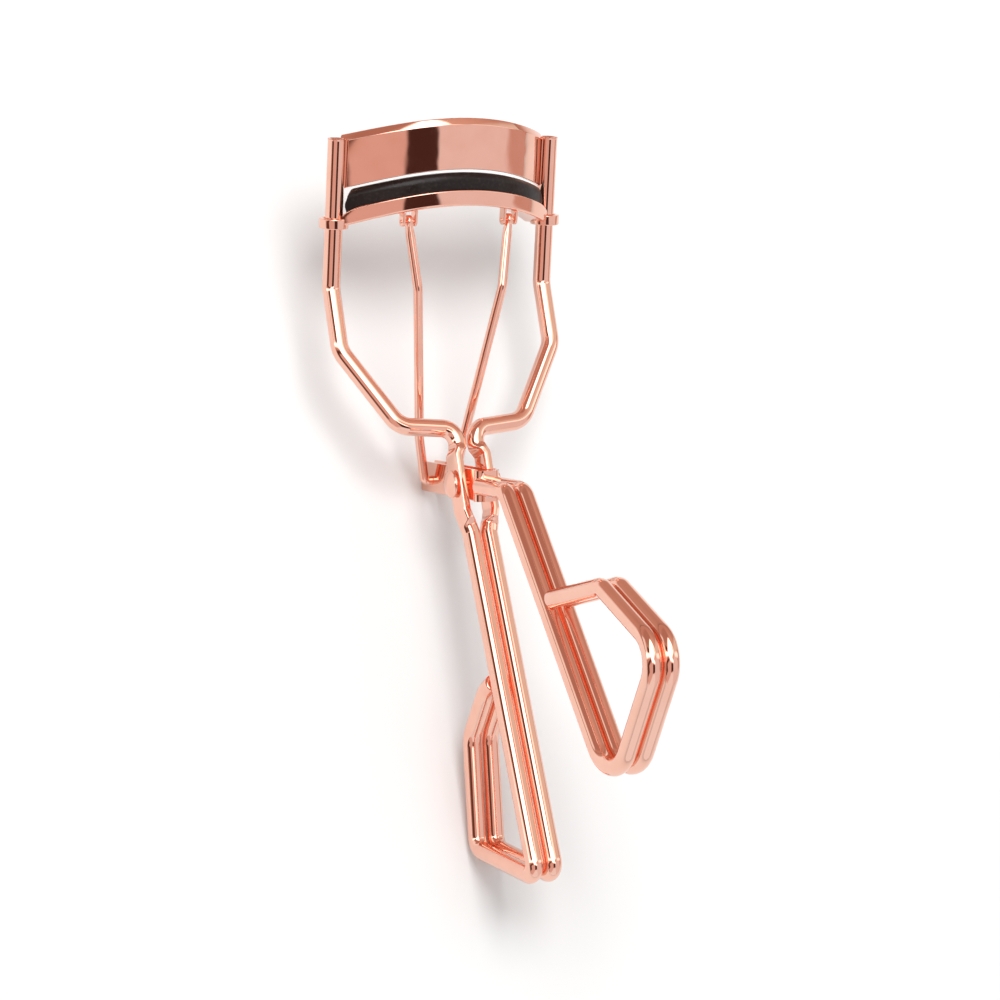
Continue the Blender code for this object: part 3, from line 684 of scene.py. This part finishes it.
for side, hand in ((-1, "Left"), (1, "Right")):
    tag = hand.lower()
    makeLug("lugOuter" + hand, "link_lug_outer_" + tag, side, lugOffset)
    makeLug("lugInner" + hand, "link_lug_inner_" + tag, side, -lugOffset)
    makePin("linkPin" + hand, "link_pin_" + tag, side)
    makeLink("linkWire" + hand, "link_wire_" + tag, side)
print("links made")

# ---- lever
lever = {"diameter": 2.48, "reach": 12.4, "cornerBend": 2.4, "lean": math.radians(45.2),
         "length": 47.0, "halfGap": 1.32, "footBend": 4.8, "start": 5.0, "startEnd": 0.5,
         "loopEnd": 0.45, "loop": ((21.7, 8.3, 4.2), (-7.4, 14.4, 2.6), (-12.3, 5.9, 0.0))}


def makeBracket():
    # an upright strip bent to a U in plan: two cheeks, a flare and a round nose
    middle = bracket["inner"] + bracket["sheet"] / 2
    nose = bracket["nose"] - bracket["sheet"] / 2
    wideHalf = bracket["noseHalf"] - bracket["sheet"] / 2
    corners = [(-bracket["tail"], middle, 0), (bracket["flare"][0], middle, 0),
               (bracket["flare"][1], wideHalf, 0), (nose, wideHalf, 0)]
    corners += [(s, -x, z) for s, x, z in reversed(corners)]
    bends = [*bracket["flareBends"], bracket["noseRound"]]
    line = guardedPath(bentPath(corners, bends + bends[::-1], math.radians(6)), 0.15)
    ahead = directionOf(np.diff(line, axis=0))
    along = directionOf(np.concatenate([ahead[:1], ahead[:-1] + ahead[1:], ahead[-1:]]))
    sideways = np.column_stack([along[:, 1], -along[:, 0], along[:, 2] * 0])
    halfSheet, halfHeight = bracket["sheet"] / 2, bracket["height"] / 2
    # the tail's corners are cut round in elevation: at t of the round's length the strip's half
    # height is less by the round times 1 - sqrt(t (2 - t))
    run = np.clip((line[:, 0] + bracket["tail"]) / bracket["tailRound"], 0, 1)
    tall = halfHeight - bracket["tailRound"] * (1 - np.sqrt(run * (2 - run)))
    section = np.array([(-halfSheet, -1), (halfSheet, -1), (halfSheet, 1), (-halfSheet, 1)])
    flat = line[:, None] + section[None, :, 0, None] * sideways[:, None]
    height = section[None, :, 1] * tall[:, None]
    points = (rivetPlace + flat[..., 0, None] * forward + flat[..., 1, None] * (1, 0, 0)
              + height[..., None] * upright)
    faces = gridFaces(len(line), 4) + endFaces(len(line), 4)
    piece = meshPiece("leverBracket", points.reshape(-1, 3), faces, "lever", "lever_bracket",
                      sheetPlating, metalSlot)
    softened(piece, bracket["edge"])


def makeLeverWire(name, node, side):
    # one wire from the bracket's nose over the corner and down the handle to the thumb loop's end
    radius = lever["diameter"] / 2
    gap = lever["halfGap"]
    start, corner = (rivetPlace + forward * lever[key] for key in ("start", "reach"))
    foot = corner + leaning(lever["lean"]) * lever["length"]
    loop = loopCorners(foot, lever["lean"], -1, lever["loop"], gap, side)
    corners = np.array([start, corner, foot, *loop])
    corners[:, 0] = gap * side
    bends = [lever["cornerBend"], lever["footBend"], *[run[2] for run in lever["loop"][:-1]]]
    path = guardedPath(bentPath(corners, bends))
    shape = wireShape(path, radius, roundedCap(radius, lever["startEnd"]),
                      roundedCap(radius, lever["loopEnd"]))
    meshPiece(name, *shape, "lever", node, wirePlating, metalSlot)


makeBracket()
makeLeverWire("leverWireLeft", "lever_wire_left", -1)
makeLeverWire("leverWireRight", "lever_wire_right", 1)
print("lever made")

# ---- floor, light and camera
studio = {
    "floorHalf": 3.0, "floorColour": (0.9, 0.897, 0.892, 1), "openLight": 0.66,
    "keyPlace": (-0.12, 0.28, 0.9), "keyAim": (0.0, 0.0, 0.01), "keySize": 0.5, "keyPower": 5.4,
    "fadeStart": 0.05, "fadeEnd": 0.14,     # along +Y, in metres
    # painted reflection: the dim warm colour that only mirror-like reflections see on the floor
    # behind the tool
    "paintedReflectionColour": (0.50, 0.30, 0.24, 1),
}


def makeFloor():
    half = studio["floorHalf"]
    mesh = bpy.data.meshes.new("floor")
    mesh.from_pydata([(-half, -half, 0), (half, -half, 0), (half, half, 0), (-half, half, 0)], [],
                     [(0, 1, 2, 3)])
    floor = bpy.data.objects.new("floor", mesh)
    bpy.context.scene.collection.objects.link(floor)
    material = bpy.data.materials.new("paleFloor")
    material.use_nodes = True
    tree = material.node_tree
    shader = setInputs(tree.nodes["Principled BSDF"], Roughness=1.0, Specular_IOR_Level=0.0)
    # painted reflection: only mirror-like reflections see the pale floor behind the tool fade to a
    # dim warm colour, standing in for a dim room
    place, split = newNode(tree, "ShaderNodeTexCoord"), newNode(tree, "ShaderNodeSeparateXYZ")
    ray = newNode(tree, "ShaderNodeLightPath")
    fade = newNode(tree, "ShaderNodeMapRange", interpolation_type="SMOOTHSTEP")
    setInputs(fade, From_Min=studio["fadeStart"], From_Max=studio["fadeEnd"])
    share = newNode(tree, "ShaderNodeMath", operation="MULTIPLY")
    mix = newNode(tree, "ShaderNodeMix", data_type="RGBA")
    mix.inputs["A"].default_value = studio["floorColour"]
    mix.inputs["B"].default_value = studio["paintedReflectionColour"]
    tree.links.new(place.outputs["Object"], split.inputs["Vector"])
    tree.links.new(split.outputs["Y"], fade.inputs["Value"])
    tree.links.new(fade.outputs["Result"], share.inputs[0])
    # painted reflection: the dim colour is mixed in for glossy rays only, so the floor stays pale
    # when seen directly
    tree.links.new(ray.outputs["Is Glossy Ray"], share.inputs[1])
    tree.links.new(share.outputs[0], mix.inputs["Factor"])
    tree.links.new(mix.outputs["Result"], shader.inputs["Base Color"])
    mesh.materials.append(material)


def makeKeyLight():
    # a large soft light overhead, which gives the floor its faint shadow and isn't mirrored
    data = bpy.data.lights.new("keyLight", "AREA")
    data.shape, data.size, data.energy = "DISK", studio["keySize"], studio["keyPower"]
    light = bpy.data.objects.new("keyLight", data)
    bpy.context.scene.collection.objects.link(light)
    place = Vector(studio["keyPlace"])
    light.location = place
    light.rotation_euler = (place - Vector(studio["keyAim"])).to_track_quat("Z", "Y").to_euler()
    light.visible_camera = light.visible_glossy = False


makeFloor()
makeKeyLight()

# angles in degrees from the tool's own axes, and lengths in millimetres
camera = {"turn": -28.0, "height": 11.6, "roll": 2.75, "distance": 520.0, "lens": 134.784,
          "sensor": 36.0, "looksAt": (0.0, 1.1, 9.0), "shift": (-0.063, 0.278)}


def makeCamera():
    # the camera stands at the distance from the looked-at point, in the direction of the angles
    turn, height, roll = (math.radians(camera[key]) for key in ("turn", "height", "roll"))
    toCamera = np.array([math.sin(turn) * math.cos(height), -math.cos(turn) * math.cos(height),
                         math.sin(height)])
    right = np.array([math.cos(turn), math.sin(turn), 0])
    up = np.cross(toCamera, right)
    right, up = (math.cos(roll) * right + math.sin(roll) * up,
                 -math.sin(roll) * right + math.cos(roll) * up)
    data = bpy.data.cameras.new("camera")
    data.lens, data.sensor_width = camera["lens"], camera["sensor"]
    data.clip_start, data.clip_end = 0.01, 20.0
    view = bpy.data.objects.new("camera", data)
    bpy.context.scene.collection.objects.link(view)
    # the looked-at point lies off the middle of the picture by the shift, a share of its width
    across, above = np.array(camera["shift"]) * camera["sensor"] / camera["lens"] * camera["distance"]
    place = (np.array(camera["looksAt"]) + toCamera * camera["distance"] - right * across
             - up * above)
    rotation = np.array([right, up, toCamera]) @ toolAxes
    matrix = np.eye(4)
    matrix[:3, :3] = rotation.T
    matrix[:3, 3] = toModel(place)
    view.matrix_world = Matrix(matrix)
    bpy.context.scene.camera = view


makeCamera()

# what the plating mirrors: a warm dim room, whose colour goes from low to high with the sine of
# the height, with soft panels at a compass bearing and a height in degrees (0 is the model's +Y,
# 90 its +X), each with half sizes and a soft edge in degrees; a later panel hides an earlier one
room = {"low": (0.60, 0.35, 0.28, 1), "high": (0.84, 0.60, 0.50, 1), "lowEnd": 0.3, "highStart": 0.95}
panels = [
    {"bearing": 180, "height": 14, "wide": 44, "tall": 32, "edge": 8, "light": (1.0, 1.02, 1.05)},
    {"bearing": 128, "height": 34, "wide": 27, "tall": 40, "edge": 5, "light": (0.90, 0.82, 0.83)},
    {"bearing": -22, "height": 31, "wide": 30, "tall": 17, "edge": 6, "light": (0.50, 0.27, 0.215)},
    {"bearing": 70, "height": 28, "wide": 10, "tall": 30, "edge": 4, "light": (0.86, 0.80, 0.72)},
    {"bearing": 88, "height": 36, "wide": 5, "tall": 22, "edge": 3, "light": (1.7, 1.65, 1.6)},
    {"bearing": 101, "height": 8, "wide": 8, "tall": 10, "edge": 3, "light": (0.67, 0.44, 0.38)},
    {"bearing": -132, "height": 36, "wide": 22, "tall": 30, "edge": 6, "light": (0.80, 0.57, 0.52)},
    {"bearing": -68, "height": 2, "wide": 18, "tall": 16, "edge": 5, "light": (1.08, 1.05, 1.0)},
    {"bearing": -84, "height": 24, "wide": 4.5, "tall": 27, "edge": 3, "light": (2.6, 2.6, 2.6)},
    {"bearing": -101, "height": 27, "wide": 4, "tall": 22, "edge": 2, "light": (0.12, 0.055, 0.04)},
    {"bearing": -112, "height": 14, "wide": 10, "tall": 10, "edge": 2, "light": (0.12, 0.055, 0.04)},
    {"bearing": -71, "height": 34, "wide": 6, "tall": 9, "edge": 3, "light": (0.10, 0.045, 0.035)},
    {"bearing": -170, "height": 58, "wide": 11.5, "tall": 12, "edge": 1.5, "turn": -20,
     "light": (0.07, 0.03, 0.025)},
    {"bearing": -155, "height": 76, "wide": 13, "tall": 4, "edge": 3, "light": (3.0, 3.0, 3.1)},
    {"bearing": -40, "height": 71, "wide": 28, "tall": 20, "edge": 4, "light": (3.6, 3.6, 3.6)},
    {"bearing": 45, "height": 70, "wide": 12, "tall": 7, "edge": 5, "light": (1.7, 1.5, 1.4)},
]


def buildPanelGroup():
    # how much of a panel is seen along a direction: along the panel's own axes the direction's
    # slopes are compared with the half sizes, and each falls from 1 to 0 across the soft edge
    group = bpy.data.node_groups.new("softPanel", "ShaderNodeTree")
    for name in ("Direction", "Facing", "Across", "Upward"):
        group.interface.new_socket(name, in_out="INPUT", socket_type="NodeSocketVector")
    for name in ("Half Width", "Half Height", "Edge"):
        group.interface.new_socket(name, in_out="INPUT", socket_type="NodeSocketFloat")
    group.interface.new_socket("Amount", in_out="OUTPUT", socket_type="NodeSocketFloat")
    given, result = newNode(group, "NodeGroupInput"), newNode(group, "NodeGroupOutput")

    def dot(axis):
        node = newNode(group, "ShaderNodeVectorMath", operation="DOT_PRODUCT")
        group.links.new(given.outputs["Direction"], node.inputs[0])
        group.links.new(given.outputs[axis], node.inputs[1])
        return node.outputs["Value"]

    def calculate(operation, first, second):
        node = newNode(group, "ShaderNodeMath", operation=operation)
        for socket, value in zip(node.inputs, (first, second)):
            if isinstance(value, float):
                socket.default_value = value
            else:
                group.links.new(value, socket)
        return node.outputs[0]

    facing = dot("Facing")
    ahead = calculate("MAXIMUM", facing, 0.001)
    amount = calculate("GREATER_THAN", facing, 0.0)
    for axis, size in (("Across", "Half Width"), ("Upward", "Half Height")):
        slope = calculate("DIVIDE", dot(axis), ahead)
        excess = calculate("SUBTRACT", calculate("ABSOLUTE", slope, 0.0), given.outputs[size])
        fall = newNode(group, "ShaderNodeMapRange", interpolation_type="SMOOTHSTEP")
        setInputs(fall, To_Min=1.0, To_Max=0.0)
        group.links.new(excess, fall.inputs["Value"])
        group.links.new(calculate("MULTIPLY", given.outputs["Edge"], -1.0), fall.inputs["From Min"])
        group.links.new(given.outputs["Edge"], fall.inputs["From Max"])
        amount = calculate("MULTIPLY", amount, fall.outputs["Result"])
    group.links.new(amount, result.inputs["Amount"])
    return group


def makeWorld():
    world = bpy.data.worlds.new("studio")
    bpy.context.scene.world = world
    world.use_nodes = True
    tree = world.node_tree
    group = buildPanelGroup()
    place = newNode(tree, "ShaderNodeTexCoord")
    split = newNode(tree, "ShaderNodeSeparateXYZ")
    tree.links.new(place.outputs["Generated"], split.inputs["Vector"])
    rise = setInputs(newNode(tree, "ShaderNodeMapRange"), From_Min=room["lowEnd"],
                     From_Max=room["highStart"])
    tree.links.new(split.outputs["Z"], rise.inputs["Value"])
    seen = newNode(tree, "ShaderNodeMix", data_type="RGBA")
    seen.inputs["A"].default_value, seen.inputs["B"].default_value = room["low"], room["high"]
    tree.links.new(rise.outputs["Result"], seen.inputs["Factor"])
    for panel in panels:
        bearing, height = math.radians(panel["bearing"]), math.radians(panel["height"])
        facing = np.array([math.sin(bearing) * math.cos(height),
                           math.cos(bearing) * math.cos(height), math.sin(height)])
        level = np.array([math.cos(bearing), -math.sin(bearing), 0])
        turn = math.radians(panel.get("turn", 0))
        across = level * math.cos(turn) + np.cross(level, facing) * math.sin(turn)
        held = newNode(tree, "ShaderNodeGroup", node_tree=group)
        setInputs(held, Facing=facing, Across=across, Upward=np.cross(across, facing),
                  Half_Width=math.tan(math.radians(panel["wide"])),
                  Half_Height=math.tan(math.radians(panel["tall"])),
                  Edge=math.tan(math.radians(panel["edge"])))
        tree.links.new(place.outputs["Generated"], held.inputs["Direction"])
        mix = newNode(tree, "ShaderNodeMix", data_type="RGBA")
        mix.clamp_result = False
        tree.links.new(held.outputs["Amount"], mix.inputs["Factor"])
        tree.links.new(seen.outputs["Result"], mix.inputs["A"])
        mix.inputs["B"].default_value = (*panel["light"], 1)
        seen = mix
    # matt surfaces are lit evenly, and only mirror-like reflections see the room and its panels
    ray = newNode(tree, "ShaderNodeLightPath")
    choice = newNode(tree, "ShaderNodeMix", data_type="RGBA")
    choice.inputs["A"].default_value = (*[studio["openLight"]] * 3, 1)
    tree.links.new(ray.outputs["Is Glossy Ray"], choice.inputs["Factor"])
    tree.links.new(seen.outputs["Result"], choice.inputs["B"])
    tree.links.new(choice.outputs["Result"], tree.nodes["Background"].inputs["Color"])


makeWorld()
bpy.context.scene.view_settings.view_transform = "Standard"
print("stage set")
